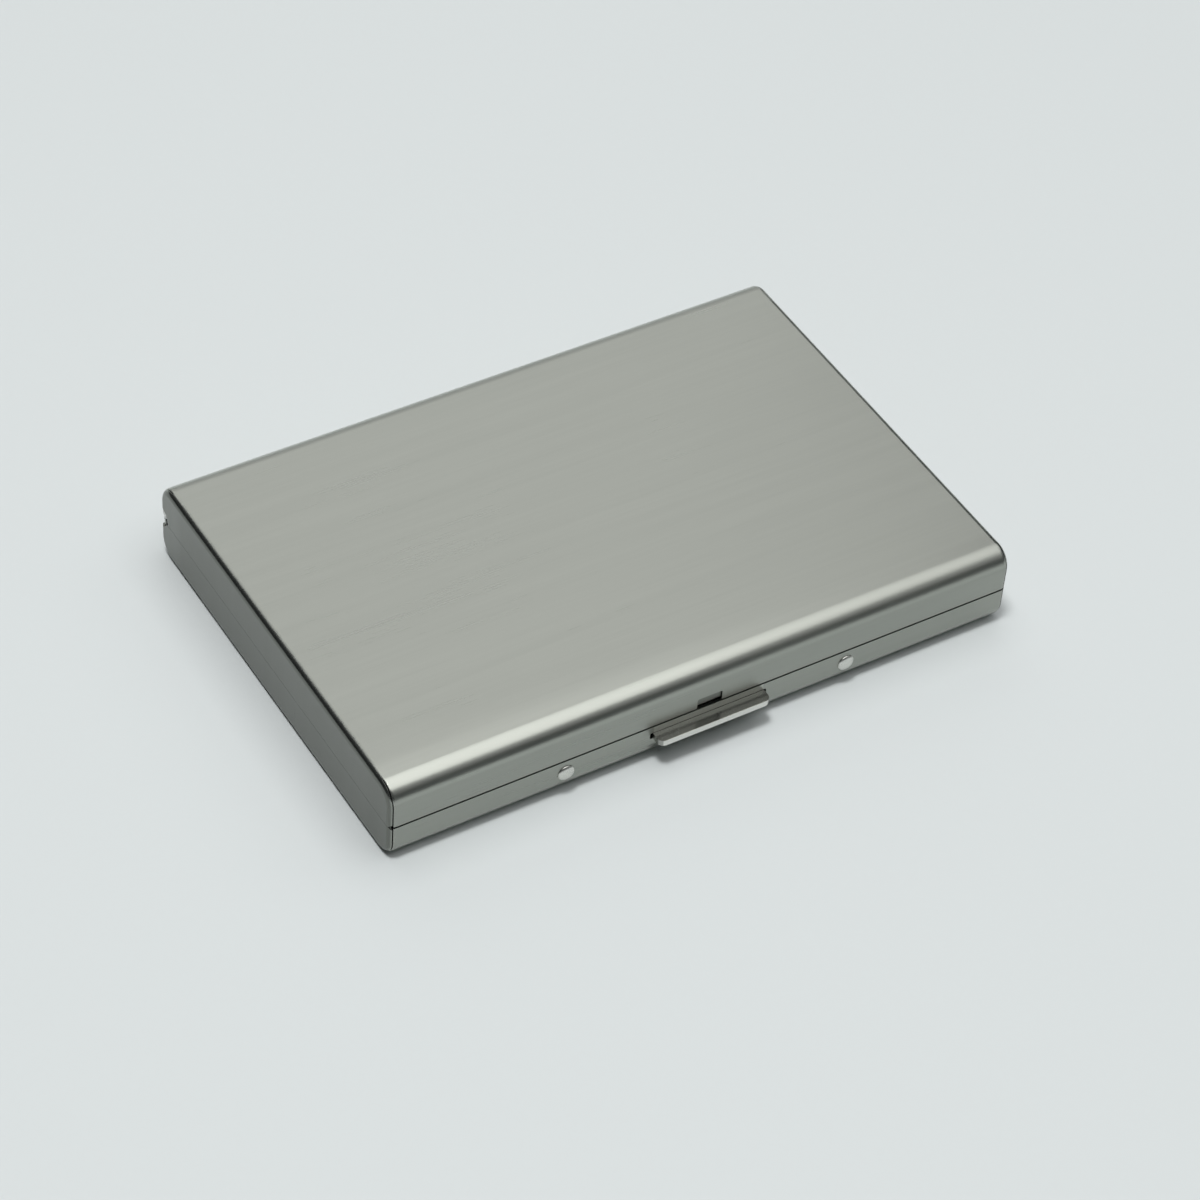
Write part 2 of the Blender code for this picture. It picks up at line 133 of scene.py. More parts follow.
class Graph:
    """A material's node tree, with one method that adds any node."""

    def __init__(self, name: str) -> None:
        """Make an empty material with an output node."""
        self.material = bpy.data.materials.new(name)
        self.material.use_nodes = True
        self.tree = self.material.node_tree
        self.tree.nodes.clear()
        self.output = self.tree.nodes.new("ShaderNodeOutputMaterial")

    def node(
        self, kind: str, settings: dict[str, Any] | None = None, inputs: dict[Any, Any] | None = None
    ) -> Any:
        """Add a node.

        Args:
            kind: The node's type.
            settings: Its properties; "stops" sets a ramp's positions and colours.
            inputs: Values or wires by socket name or number.

        Returns:
            The node.
        """
        made = self.tree.nodes.new(kind)
        for key, value in (settings or {}).items():
            if key == "stops":
                self._set_stops(made.color_ramp, value)
            else:
                setattr(made, key, value)
        for key, value in (inputs or {}).items():
            if isinstance(value, Wire):
                self.tree.links.new(value.socket, made.inputs[key])
            else:
                made.inputs[key].default_value = value
        return made

    @staticmethod
    def _set_stops(ramp: Any, stops: Sequence[tuple[float, float]]) -> None:
        """Give a ramp grey stops, as (position, level) pairs."""
        while len(ramp.elements) < len(stops):
            ramp.elements.new(1.0)
        for element, (position, level) in zip(ramp.elements, stops):
            element.position = position
            element.color = (level, level, level, 1.0)

    def wire(self, node: Any, output: Any = 0) -> Wire:
        """Return an output of a node as a wire."""
        return Wire(self, node.outputs[output])

    def coordinates(self, space: str, scale: Point, turn: float = 0.0) -> Wire:
        """Return scaled texture coordinates.

        Args:
            space: "UV" or "Object".
            scale: Repeats per metre along each axis.
            turn: Turn about Z in degrees, applied before the scale.

        Returns:
            The mapped vector.
        """
        source = self.wire(self.node("ShaderNodeTexCoord"), space)
        mapped = self.node(
            "ShaderNodeMapping", None,
            {"Vector": source, "Scale": tuple(scale), "Rotation": (0.0, 0.0, math.radians(turn))},
        )
        return self.wire(mapped)

    def axes(self, space: str) -> list[Wire]:
        """Return the three axes of the coordinates of "UV" or "Object", in metres."""
        source = self.wire(self.node("ShaderNodeTexCoord"), space)
        parts = self.node("ShaderNodeSeparateXYZ", None, {0: source})
        return [self.wire(parts, axis) for axis in range(3)]

    def noise(self, vector: Wire, detail: float = 2.0, roughness: float = 0.5, scale: float = 1.0) -> Wire:
        """Return noise, near 0.5 on average.

        Args:
            vector: The coordinates.
            detail: How many finer layers are added.
            roughness: How strong the finer layers are.
            scale: The noise's own scale.

        Returns:
            The noise value.
        """
        made = self.node(
            "ShaderNodeTexNoise", {"noise_dimensions": "3D"},
            {"Vector": vector, "Scale": scale, "Detail": detail, "Roughness": roughness},
        )
        return self.wire(made, 0)

    def ramp(self, value: Wire, stops: Sequence[tuple[float, float]]) -> Wire:
        """Return the value passed through a grey ramp."""
        return self.wire(self.node("ShaderNodeValToRGB", {"stops": stops}, {"Fac": value}))

    def blend_colour(self, factor: Wire, first: Point, second: Point) -> Wire:
        """Return a colour between two, by the factor."""
        made = self.node(
            "ShaderNodeMix", {"data_type": "RGBA"}, {0: factor, 6: (*first, 1.0), 7: (*second, 1.0)}
        )
        return self.wire(made, 2)

    def ease(self, value: Wire, start: float, end: float) -> Wire:
        """Return a smooth rise from 0 to 1 between two values."""
        settings = {"interpolation_type": "SMOOTHSTEP"}
        inputs = {0: value, 1: start, 2: end, 3: 0.0, 4: 1.0}
        return self.wire(self.node("ShaderNodeMapRange", settings, inputs))

    def tint(self, colour: Wire, mask: Wire, tone: float) -> Wire:
        """Return the colour multiplied by a tone where the mask is 1."""
        settings = {"data_type": "RGBA", "blend_type": "MULTIPLY"}
        inputs = {0: mask, 6: colour, 7: (tone, tone, tone, 1.0)}
        return self.wire(self.node("ShaderNodeMix", settings, inputs), 2)

    def bump(self, height: Wire, distance: float) -> Wire:
        """Return a normal bent by a height, whose full range is the distance in metres."""
        return self.wire(self.node("ShaderNodeBump", None, {"Height": height, "Distance": distance}))

    def surface(self, inputs: dict[str, Any]) -> bpy.types.Material:
        """Finish the material with a Principled shader.

        Args:
            inputs: Values or wires by socket name.

        Returns:
            The material.
        """
        shader = self.node("ShaderNodeBsdfPrincipled", None, inputs)
        self.tree.links.new(shader.outputs[0], self.output.inputs[0])
        return self.material


# ---------------------------------------------------------------- finishes


Colour = tuple[float, float, float]


def shade(colour: Colour, factor: float) -> Colour:
    """Return a darker or lighter colour."""
    return tuple(min(channel * factor, 1.0) for channel in colour)


@dataclass(frozen=True)
class HairlineSteel:
    """Stainless sheet brushed in one direction before it was folded.

    Its UV map is the flat sheet in metres, so the places on it are distances from the middle of the sheet.
    """

    name: str
    colour: Colour = (0.485, 0.502, 0.457)
    roughness: float = 0.30
    line_width: float = 0.11 * MM
    line_length: float = 14.0 * MM
    line_depth: float = 0.0010 * MM
    haze_rate: float = 38.0
    # Painted shade: past flange_start along the grain, the end flanges and the ends of their bends are
    # darkened.
    flange_start: float = 47.95 * MM
    flange_blur: float = 0.4 * MM
    flange_painted_shade: float = 0.35
    rim_middle: float = 48.3 * MM
    rim_half: float = 0.8 * MM
    rim_shine: float = 0.07
    # Painted shade: past wall_start across the grain, the long walls are darkened.
    wall_start: float = 33.6 * MM
    wall_blur: float = 0.8 * MM
    wall_tone: float = 0.69
    sag_start: float = 26.5 * MM
    sag_end: float = 34.0 * MM
    sag: float = 0.25 * MM
    # Painted shade: inside this box the catch flap in the lip's notch is darkened.
    flap_half: float = 1.9 * MM
    flap_front: float = -33.15 * MM
    flap_blur: float = 0.04 * MM
    flap_rear: float = -32.0 * MM
    flap_foot: float = 6.3 * MM
    flap_top: float = 8.3 * MM
    flap_painted_shade: float = 0.62
    # Painted light: the front wall's strip between the thumb tab and the parting line is brightened, a
    # painted reflection.
    strip_half: float = 8.6 * MM
    strip_low: float = 4.9 * MM
    strip_high: float = 6.3 * MM
    strip_blur: float = 0.2 * MM
    strip_painted_light: float = 1.4

    def strokes(self, graph: Graph, length: float, width: float, detail: float, roughness: float) -> Wire:
        """Return noise drawn out along the grain.

        Args:
            graph: The finish's tree.
            length: Repeats for each length of a fine line.
            width: Repeats for each width of a fine line.
            detail: How many finer layers are added.
            roughness: How strong the finer layers are.

        Returns:
            The noise value.
        """
        across = width / self.line_width
        place = graph.coordinates("UV", (length / self.line_length, across, across))
        return graph.noise(place, detail, roughness)

    def paint_shade_and_light(self, graph: Graph, colour: Wire, along: Wire, across: Wire) -> Wire:
        """Paint shade on the end flanges, the long walls and the catch flap, and paint light on the strip
        above the thumb tab.

        Args:
            graph: The finish's tree.
            colour: The brushed colour.
            along: Distance from the sheet's middle along the grain.
            across: Distance from the sheet's middle across the grain.

        Returns:
            The toned colour.
        """
        aside, inward, height = graph.axes("Object")
        aside = aside.math("ABSOLUTE")
        # Painted shade on the end flanges.
        flange = along.past(self.flange_start, self.flange_blur)
        # Painted shade on the long walls, clear of the flanges.
        wall = across.past(self.wall_start, self.wall_blur) * (1.0 - flange)
        # Painted shade on the catch flap, recessed in the notch.
        flap = inward.past(self.flap_front, self.flap_blur) * inward.below(self.flap_rear)
        flap = flap * height.above(self.flap_foot) * height.below(self.flap_top) * aside.below(self.flap_half)
        # Painted light on the strip above the thumb tab.
        strip = graph.ease(height, self.strip_low, self.strip_low + self.strip_blur)
        strip = strip * height.below(self.strip_high) * aside.below(self.strip_half)
        strip = strip * inward.below(self.flap_front)
        colour = graph.tint(graph.tint(colour, flange, self.flange_painted_shade), wall, self.wall_tone)
        return graph.tint(graph.tint(colour, flap, self.flap_painted_shade), strip, self.strip_painted_light)

    def material(self) -> bpy.types.Material:
        """Build the finish.

        Returns:
            The material: fine lines along the grain, longer faint streaks, a little haze from handling, and
                painted shade and painted light on parts of the folded sheet.
        """
        graph = Graph(self.name)
        fine = self.strokes(graph, 1.0, 1.0, 3.0, 0.62)
        wide = self.strokes(graph, 0.45, 0.16, 2.0, 0.5)
        streak = self.strokes(graph, 0.22, 0.045, 2.0, 0.55)
        haze = graph.noise(graph.coordinates("Object", (self.haze_rate,) * 3), 3.0, 0.5)
        scratch = graph.ramp(self.strokes(graph, 0.7, 0.5, 1.0, 0.4), ((0.0, 0.0), (0.70, 0.0), (0.78, 1.0)))
        lines = fine * 0.62 + wide * 0.38
        tone = (lines * 0.55 + streak * 0.45 - 0.5) * 1.1 + 0.5 + scratch * 0.10
        brushed = graph.blend_colour(tone.clamped(), shade(self.colour, 0.89), shade(self.colour, 1.09))
        along, across = (axis.math("ABSOLUTE") for axis in graph.axes("UV")[:2])
        rim = 1.0 - (along - self.rim_middle).math("ABSOLUTE") * (1.0 / self.rim_half)
        sag = graph.ease(across, self.sag_start, self.sag_end)
        rough = self.roughness + (haze - 0.5) * 0.10 + (streak - 0.5) * 0.10 + (fine - 0.5) * 0.06
        return graph.surface({
            "Base Color": self.paint_shade_and_light(graph, brushed, along, across),
            "Metallic": 1.0,
            "Roughness": rough - rim.clamped() * self.rim_shine,
            "Normal": graph.bump(lines * self.line_depth - sag * self.sag, 1.0),
        })


@dataclass(frozen=True)
class SatinSteel:
    """Stamped or drawn steel with a fine tumbled surface.

    With a shade tone below 1, what lies further in than edge_y is darkened with painted shade, and the edge
    in front of it is left brighter.
    """

    name: str
    colour: Colour
    roughness: float
    speck: float = 0.12 * MM
    speck_depth: float = 0.0012 * MM
    patch_rate: float = 260.0
    edge_y: float = 0.0
    edge_blur: float = 0.04 * MM
    # Below 1, painted shade on the faces behind edge_y.
    painted_shade_tone: float = 1.0

    def material(self) -> bpy.types.Material:
        """Build the finish.

        Returns:
            The material: a fine matt speckle with slightly brighter rubbed patches.
        """
        graph = Graph(self.name)
        speck = graph.noise(graph.coordinates("Object", (1.0 / self.speck,) * 3), 2.0, 0.6)
        patch = graph.noise(graph.coordinates("Object", (self.patch_rate,) * 3), 3.0, 0.5)
        worn = (patch * 0.6 + speck * 0.4).clamped()
        colour = graph.blend_colour(worn, shade(self.colour, 0.88), shade(self.colour, 1.10))
        # Painted shade: the faces behind edge_y are darkened, the front edge is not.
        if self.painted_shade_tone < 1.0:
            painted_shade_mask = graph.axes("Object")[1].past(self.edge_y, self.edge_blur)
            colour = graph.tint(colour, painted_shade_mask, self.painted_shade_tone)
        return graph.surface({
            "Base Color": colour,
            "Metallic": 1.0,
            "Roughness": self.roughness + (speck - 0.5) * 0.16 + (patch - 0.5) * 0.12,
            "Normal": graph.bump(speck, self.speck_depth),
        })


@dataclass(frozen=True)
class PocketSheet:
    """Soft black plastic sheet with a pressed leather grain."""

    name: str
    colour: Colour = (0.020, 0.020, 0.022)
    pebble: float = 0.55 * MM
    depth: float = 0.03 * MM
    wear_rate: float = 55.0

    def material(self) -> bpy.types.Material:
        """Build the finish.

        Returns:
            The material: small pebbles parted by fine creases, a soft sheen on their tops.
        """
        graph = Graph(self.name)
        place = graph.coordinates("Object", (1.0 / self.pebble,) * 3)
        settings = {"feature": "DISTANCE_TO_EDGE"}
        cells = graph.node("ShaderNodeTexVoronoi", settings, {"Vector": place, "Scale": 1.0})
        crease = graph.ramp(graph.wire(cells), ((0.0, 0.0), (0.18, 0.8), (0.5, 1.0)))
        pore = graph.noise(place, 3.0, 0.6, 3.0)
        worn = graph.noise(graph.coordinates("Object", (self.wear_rate,) * 3), 3.0, 0.5)
        tone = (crease * 0.6 + worn * 0.4).clamped()
        return graph.surface({
            "Base Color": graph.blend_colour(tone, shade(self.colour, 0.55), shade(self.colour, 1.8)),
            "Roughness": 0.58 - crease * 0.10 + (worn - 0.5) * 0.18,
            "Normal": graph.bump(crease * 0.8 + pore * 0.2, self.depth),
            "Specular IOR Level": 0.42,
            "Sheen Weight": 0.12,
            "Sheen Roughness": 0.4,
        })


@dataclass(frozen=True)
class FoldedFilm:
    """Thin black plastic film with faint stretch marks along its folds."""

    name: str
    colour: Colour = (0.024, 0.024, 0.026)

    def material(self) -> bpy.types.Material:
        """Build the finish.

        Returns:
            The material: smooth film, lightly crazed along its length.
        """
        graph = Graph(self.name)
        marks = graph.noise(graph.coordinates("Object", (2600.0, 180.0, 2600.0)), 3.0, 0.6)
        cloud = graph.noise(graph.coordinates("Object", (240.0,) * 3), 2.0, 0.5)
        tone = (marks * 0.5 + cloud * 0.5).clamped()
        return graph.surface({
            "Base Color": graph.blend_colour(tone, shade(self.colour, 0.7), shade(self.colour, 1.6)),
            "Roughness": 0.42 + (cloud - 0.5) * 0.2,
            "Normal": graph.bump(marks, 0.006 * MM),
            "Specular IOR Level": 0.45,
        })


@dataclass(frozen=True)
class AdhesiveSheet:
    """Pale fibrous adhesive sheet."""

    name: str
    colour: Colour = (0.55, 0.52, 0.44)

    def material(self) -> bpy.types.Material:
        """Build the finish.

        Returns:
            The material: matt, with short fibres.
        """
        graph = Graph(self.name)
        fibre = graph.noise(graph.coordinates("Object", (900.0, 4200.0, 2000.0), 20.0), 3.0, 0.6)
        return graph.surface({
            "Base Color": graph.blend_colour(fibre.clamped(), shade(self.colour, 0.8), self.colour),
            "Roughness": 0.75 + (fibre - 0.5) * 0.2,
            "Normal": graph.bump(fibre, 0.02 * MM),
        })


@dataclass(frozen=True)
class StudioPaper:
    """Plain pale ground."""

    name: str
    colour: Colour = (0.60, 0.632, 0.632)

    def material(self) -> bpy.types.Material:
        """Build the finish.

        Returns:
            The material: matt and almost even.
        """
        graph = Graph(self.name)
        tooth = graph.noise(graph.coordinates("Object", (900.0,) * 3), 2.0, 0.5)
        return graph.surface({
            "Base Color": graph.blend_colour(tooth.clamped(), self.colour, shade(self.colour, 1.01)),
            "Roughness": 0.9,
            "Specular IOR Level": 0.2,
        })


# ---------------------------------------------------------------- modelling tools


def deselect_all() -> None:
    """Leave edit mode and deselect every object."""
    if bpy.context.object and bpy.context.object.mode != "OBJECT":
        bpy.ops.object.mode_set(mode="OBJECT")
    bpy.ops.object.select_all(action="DESELECT")


def pick(obj: bpy.types.Object) -> None:
    """Make the object the only selected and active one."""
    deselect_all()
    obj.select_set(True)
    bpy.context.view_layer.objects.active = obj


def settle(obj: bpy.types.Object, name: str) -> bpy.types.Object:
    """Apply an object's place, turn and scale, and name it and its mesh.

    Args:
        obj: The object.
        name: Its new name.

    Returns:
        The object.
    """
    pick(obj)
    bpy.ops.object.transform_apply(location=True, rotation=True, scale=True)
    obj.name = name
    obj.data.name = name
    return obj


def block(name: str, low: Point, high: Point) -> bpy.types.Object:
    """Add a block between two corners."""
    deselect_all()
    low_corner, high_corner = Vector(low), Vector(high)
    bpy.ops.mesh.primitive_cube_add(size=1.0, location=(low_corner + high_corner) / 2)
    obj = bpy.context.object
    obj.scale = high_corner - low_corner
    return settle(obj, name)


def rod(name: str, radius: float, start: Point, end: Point, sides: int = 48) -> bpy.types.Object:
    """Add a cylinder between two points."""
    deselect_all()
    first, last = Vector(start), Vector(end)
    bpy.ops.mesh.primitive_cylinder_add(
        vertices=sides, radius=radius, depth=(last - first).length, location=(first + last) / 2
    )
    obj = bpy.context.object
    obj.rotation_euler = (last - first).to_track_quat("Z", "Y").to_euler()
    return settle(obj, name)


class Facing(Enum):
    """The axis along which an outline is given its thickness."""

    X = Matrix(((0, 0, 1, 0), (1, 0, 0, 0), (0, 1, 0, 0), (0, 0, 0, 1)))
    Z = Matrix.Identity(4)


def plate(name: str, points: Iterable[Point], facing: Facing, low: float, high: float) -> bpy.types.Object:
    """Add a plate with a flat outline.

    Args:
        name: Its name.
        points: The outline, as (y, z) when it faces X and (x, y) when it faces Z.
        facing: The axis of its thickness.
        low: Where its thickness starts on that axis.
        high: Where it ends.

    Returns:
        The plate as a closed mesh.
    """
    deselect_all()
    curve = bpy.data.curves.new(name, "CURVE")
    curve.dimensions = "2D"
    curve.fill_mode = "BOTH"
    curve.extrude = (high - low) / 2
    corners = list(points)
    spline = curve.splines.new("POLY")
    spline.points.add(len(corners) - 1)
    for point, (across, up) in zip(spline.points, corners):
        point.co = (across, up, 0.0, 1.0)
    spline.use_cyclic_u = True
    obj = bpy.data.objects.new(name, curve)
    bpy.context.scene.collection.objects.link(obj)
    middle = (low + high) / 2
    shift = (middle, 0.0, 0.0) if facing is Facing.X else (0.0, 0.0, middle)
    obj.matrix_world = Matrix.Translation(shift) @ facing.value
    pick(obj)
    bpy.ops.object.convert(target="MESH")
    obj = settle(bpy.context.object, name)
    edit_all(obj)
    bpy.ops.mesh.remove_doubles(threshold=0.1 * HAIR)
    bpy.ops.mesh.normals_make_consistent(inside=False)
    leave_edit()
    return obj


def arc(centre: Point, radius: float, start: float, end: float, steps: int) -> list[tuple[float, float]]:
    """Return points on an arc, with angles in degrees."""
    angles = [math.radians(start + (end - start) * i / steps) for i in range(steps + 1)]
    return [(centre[0] + radius * math.cos(a), centre[1] + radius * math.sin(a)) for a in angles]


def edit_all(obj: bpy.types.Object) -> None:
    """Enter edit mode with the whole mesh selected."""
    pick(obj)
    bpy.ops.object.mode_set(mode="EDIT")
    bpy.ops.mesh.select_all(action="SELECT")


def leave_edit() -> None:
    """Go back to object mode."""
    bpy.ops.object.mode_set(mode="OBJECT")


class Part(Enum):
    """What is selected on a mesh."""

    EDGE = "edges"
    FACE = "faces"


def select_parts(obj: bpy.types.Object, kind: Part, test: Callable[[Any], bool]) -> None:
    """Enter edit mode and select the edges or faces that pass the test."""
    pick(obj)
    bpy.ops.object.mode_set(mode="EDIT")
    bpy.ops.mesh.select_mode(type=kind.name)
    bpy.ops.mesh.select_all(action="DESELECT")
    for part in getattr(bmesh.from_edit_mesh(obj.data), kind.value):
        if test(part):
            part.select_set(True)
    bmesh.update_edit_mesh(obj.data)


def select_edges(obj: bpy.types.Object, test: Callable[[Vector, Vector], bool]) -> None:
    """Enter edit mode and select the edges whose two ends pass the test."""
    select_parts(obj, Part.EDGE, lambda edge: test(edge.verts[0].co, edge.verts[1].co))


def select_faces(obj: bpy.types.Object, test: Callable[[Vector], bool]) -> None:
    """Enter edit mode and select the faces whose normal passes the test."""
    select_parts(obj, Part.FACE, lambda face: test(face.normal))


def round_edges(
    obj: bpy.types.Object, width: float, steps: int, test: Callable[[Vector, Vector], bool]
) -> bpy.types.Object:
    """Round the edges whose two ends pass the test.

    Args:
        obj: The mesh object.
        width: How far the rounding reaches from the edge.
        steps: How many faces it has.
        test: Says from an edge's two ends whether it is rounded.

    Returns:
        The object.
    """
    select_edges(obj, test)
    bpy.ops.mesh.bevel(offset=width, segments=steps, affect="EDGES")
    leave_edit()
    return obj


def runs_inward(first: Vector, second: Vector) -> bool:
    """Return whether an edge runs from the front towards the hinge."""
    return abs(first.y - second.y) > MM


def slice_across(obj: bpy.types.Object, places: Iterable[Point], normal: Point) -> None:
    """Divide a mesh along parallel planes through the places."""
    edit_all(obj)
    for place in places:
        bpy.ops.mesh.select_all(action="SELECT")
        bpy.ops.mesh.bisect(plane_co=place, plane_no=normal)
    leave_edit()


def apply_modifier(obj: bpy.types.Object, kind: str, settings: dict[str, Any]) -> None:
    """Add a modifier with its settings and apply it."""
    pick(obj)
    step = obj.modifiers.new(kind.lower(), kind)
    for key, value in settings.items():
        setattr(step, key, value)
    bpy.ops.object.modifier_apply(modifier=step.name)


def combine(obj: bpy.types.Object, others: Iterable[bpy.types.Object], operation: str) -> bpy.types.Object:
    """Cut or join with other meshes, which are used up.

    Args:
        obj: The mesh that is kept.
        others: The cutters, or the shapes to join.
        operation: DIFFERENCE or UNION.

    Returns:
        The mesh that is kept.
    """
    for other in others:
        apply_modifier(obj, "BOOLEAN", {"operation": operation, "object": other, "solver": "EXACT"})
        bpy.data.objects.remove(other)
    return obj


def ease_edges(obj: bpy.types.Object, width: float, steps: int = 2, angle: float = 40.0) -> None:
    """Round every edge sharper than the angle, then set smooth shading weighted by face size."""
    apply_modifier(obj, "BEVEL", {
        "width": width, "segments": steps, "limit_method": "ANGLE", "angle_limit": math.radians(angle),
        "use_clamp_overlap": True, "miter_outer": "MITER_ARC",
    })
    smooth(obj)


def smooth(obj: bpy.types.Object, angle: float = 40.0) -> None:
    """Shade smooth up to an angle, with normals weighted by face size."""
    pick(obj)
    bpy.ops.object.shade_smooth_by_angle(angle=math.radians(angle))
    apply_modifier(obj, "WEIGHTED_NORMAL", {"mode": "FACE_AREA", "weight": 50, "keep_sharp": True})


def finish_piece(obj: bpy.types.Object, material: bpy.types.Material, node: str) -> None:
    """Give a piece its finish, name the CAD node it stands for, and report it.

    Args:
        obj: The piece.
        material: Its finish.
        node: The CAD node it stands for.
    """
    obj.data.materials.clear()
    obj.data.materials.append(material)
    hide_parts(node)
    log.info("%s: %d faces, for %s", obj.name, len(obj.data.polygons), node)


def dress(obj: bpy.types.Object, material: bpy.types.Material, body: str, node: str) -> None:
    """Set a rigid piece on the body it moves with, and finish it."""
    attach(obj, body)
    finish_piece(obj, material, node)


def tongue_outline(low: Point, high: Point, corner: float, steps: int) -> list[tuple[float, float]]:
    """Return a rectangle's outline with its two front corners rounded."""
    outline = [(high[0], high[1]), (low[0], high[1])]
    outline += arc((low[0] + corner, low[1] + corner), corner, 180, 270, steps)
    outline += arc((high[0] - corner, low[1] + corner), corner, 270, 360, steps)
    return outline


# ---------------------------------------------------------------- the case


@dataclass
class CaseSizes:
    """Sizes that several pieces share, read from the frame where it holds them."""

    sheet: float = 0.5 * MM
    long_bend: float = 3.1 * MM
    end_bend: float = 1.0 * MM
    seam: float = 0.14 * MM
    touch: float = 0.05 * MM
    slot_half: float = 9.15 * MM
    tongue_reach: float = 1.65 * MM
    flap_back: float = 0.85 * MM
    rivet_x: float = 22.05 * MM
    rivet_z: float = 3.9 * MM
    rivet_hole: float = 0.66 * MM
    half_length: float = field(init=False)
    half_width: float = field(init=False)
    height: float = field(init=False)
    parting: float = field(init=False)
    hinge_y: float = field(init=False)
    hinge_z: float = field(init=False)

    def __post_init__(self) -> None:
        """Read the outer sizes and the hinge axis."""
        tray_low, tray_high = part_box("tray_shell")
        lid_low, lid_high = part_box("lid_shell")
        self.half_length = tray_high.x
        self.half_width = tray_high.y
        self.height = lid_high.z
        self.parting = (tray_high.z + lid_low.z) / 2
        joints = frame["record"]["behaviour"]["joints"]
        hinge = next(joint for joint in joints if joint["name"] == "lid_open")
        _, self.hinge_y, self.hinge_z = hinge["pos_m"]

    @property
    def front(self) -> float:
        """Y of the front face."""
        return -self.half_width

    @property
    def front_inside(self) -> float:
        """Y of the front wall's inner face."""
        return -self.half_width + self.sheet


@dataclass
class Shells:
    """The two folded half shells."""

    case: CaseSizes
    long_steps: int = 18
    end_steps: int = 7
    end_gap: float = 0.04 * MM
    front_gap: float = 0.3 * MM
    chamfer: float = 0.6 * MM
    edge_round: float = 0.06 * MM
    reach: float = 8.0 * MM
    cut_depth: float = 1.2 * MM
    notch_half: float = 1.95 * MM
    notch_top: float = 8.0 * MM
    notch_corner: float = 0.25 * MM
    flap_side: float = 0.08 * MM
    flap_sheet: float = 0.45 * MM
    flap_root: float = 0.4 * MM
    flap_faces: tuple[float, float, float] = (0.34 * MM, 0.30 * MM, 0.24 * MM)
    flap_roll: float = 0.30 * MM
    flap_low: float = 6.55 * MM
    slot_low: float = 3.95 * MM
    slot_high: float = 5.0 * MM
    slot_corner: float = 0.25 * MM

    def half(self, name: str, upper: bool) -> bpy.types.Object:
        """Model one folded half with its thickness.

        Args:
            name: The piece's name.
            upper: Whether it is the lid.

        Returns:
            The closed mesh, still without its cuts.
        """
        case = self.case
        corner = Vector((case.half_length, case.half_width, case.height))
        obj = block(name, (-corner.x, -corner.y, 0.0), corner)
        select_edges(obj, lambda a, b: abs(a.x - b.x) > self.reach)
        bpy.ops.mesh.bevel(offset=case.long_bend, segments=self.long_steps, profile=0.5, affect="EDGES")
        end = case.half_length - HAIR
        select_edges(obj, lambda a, b: abs(a.x - b.x) < HAIR and abs(a.x) > end)
        bpy.ops.mesh.bevel(
            offset=case.end_bend, segments=self.end_steps, profile=0.5, affect="EDGES", clamp_overlap=False
        )
        level = case.parting + (self.end_gap / 2 if upper else -self.end_gap / 2)
        bpy.ops.mesh.select_all(action="SELECT")
        bpy.ops.mesh.bisect(
            plane_co=(0.0, 0.0, level), plane_no=(0.0, 0.0, 1.0), clear_inner=upper, clear_outer=not upper
        )
        leave_edit()
        apply_modifier(obj, "SOLIDIFY", {"thickness": case.sheet, "offset": -1.0, "use_even_offset": True})
        return obj

    def seams(self) -> list[bpy.types.Object]:
        """Return cutters that part the long walls and their bends from the end flanges."""
        case = self.case
        outer = case.half_length - case.sheet + 0.02 * MM
        inner = outer - case.seam
        start = case.half_width - case.long_bend
        cutters = []
        for side_x in (-1, 1):
            for side_y in (-1, 1):
                xs = sorted((side_x * inner, side_x * outer))
                ys = sorted((side_y * start, side_y * (case.half_width + self.reach)))
                top = case.height + self.reach
                cutters.append(block("seam", (xs[0], ys[0], -self.reach), (xs[1], ys[1], top)))
        return cutters

    def front_cuts(self, upper: bool) -> list[bpy.types.Object]:
        """Return cutters for the front lip's gap and the small V at both front corners."""
        case = self.case
        inner = case.half_length - case.sheet - case.seam / 2
        edge = case.parting + (self.front_gap / 2 if upper else -self.front_gap / 2)
        far = case.parting - (self.reach if upper else -self.reach)
        low, high = sorted((edge, far))
        back = case.front + 3 * case.sheet
        cutters = [block("lip", (-inner, case.front - self.reach, low), (inner, back, high))]
        corner = [
            (case.front - self.chamfer, case.parting - 2 * self.chamfer),
            (case.front + self.chamfer, case.parting),
            (case.front - self.chamfer, case.parting + 2 * self.chamfer),
        ]
        far_x = case.half_length + self.reach
        cutters.append(plate("corner_v", corner, Facing.X, -far_x, -inner))
        cutters.append(plate("corner_v", corner, Facing.X, inner, far_x))
        return cutters

    def lid(self) -> bpy.types.Object:
        """Model the lid: rear cut over the hinge, notch in the lip and the catch flap stepped in from it."""
        case = self.case
        obj = self.half("lid_skin", True)
        rear = [
            (case.hinge_y - 1.46 * MM, case.parting - 0.2 * MM),
            (case.hinge_y - 0.9 * MM, case.hinge_z + 0.55 * MM),
            (case.hinge_y - 0.05 * MM, case.hinge_z + 1.05 * MM),
            (case.hinge_y + self.reach, case.hinge_z + 1.05 * MM),
            (case.hinge_y + self.reach, case.parting - 0.2 * MM),
        ]
        cutters = self.seams() + self.front_cuts(True)
        cutters.append(plate("rear_cut", rear, Facing.X, -3 * case.half_length, 3 * case.half_length))
        cutters.append(self.lip_notch())
        combine(obj, cutters, "DIFFERENCE")
        combine(obj, [self.flap()], "UNION")
        ease_edges(obj, self.edge_round)
        return obj

    def window(self, name: str, half: float, low: float, high: float) -> bpy.types.Object:
        """Return a cutter through the front wall.

        Args:
            name: The cutter's name.
            half: Half its width.
            low: Its lower end.
            high: Its upper end.

        Returns:
            The cutter, with sharp corners.
        """
        front = self.case.front
        return block(name, (-half, front - self.reach, low), (half, front + self.cut_depth, high))

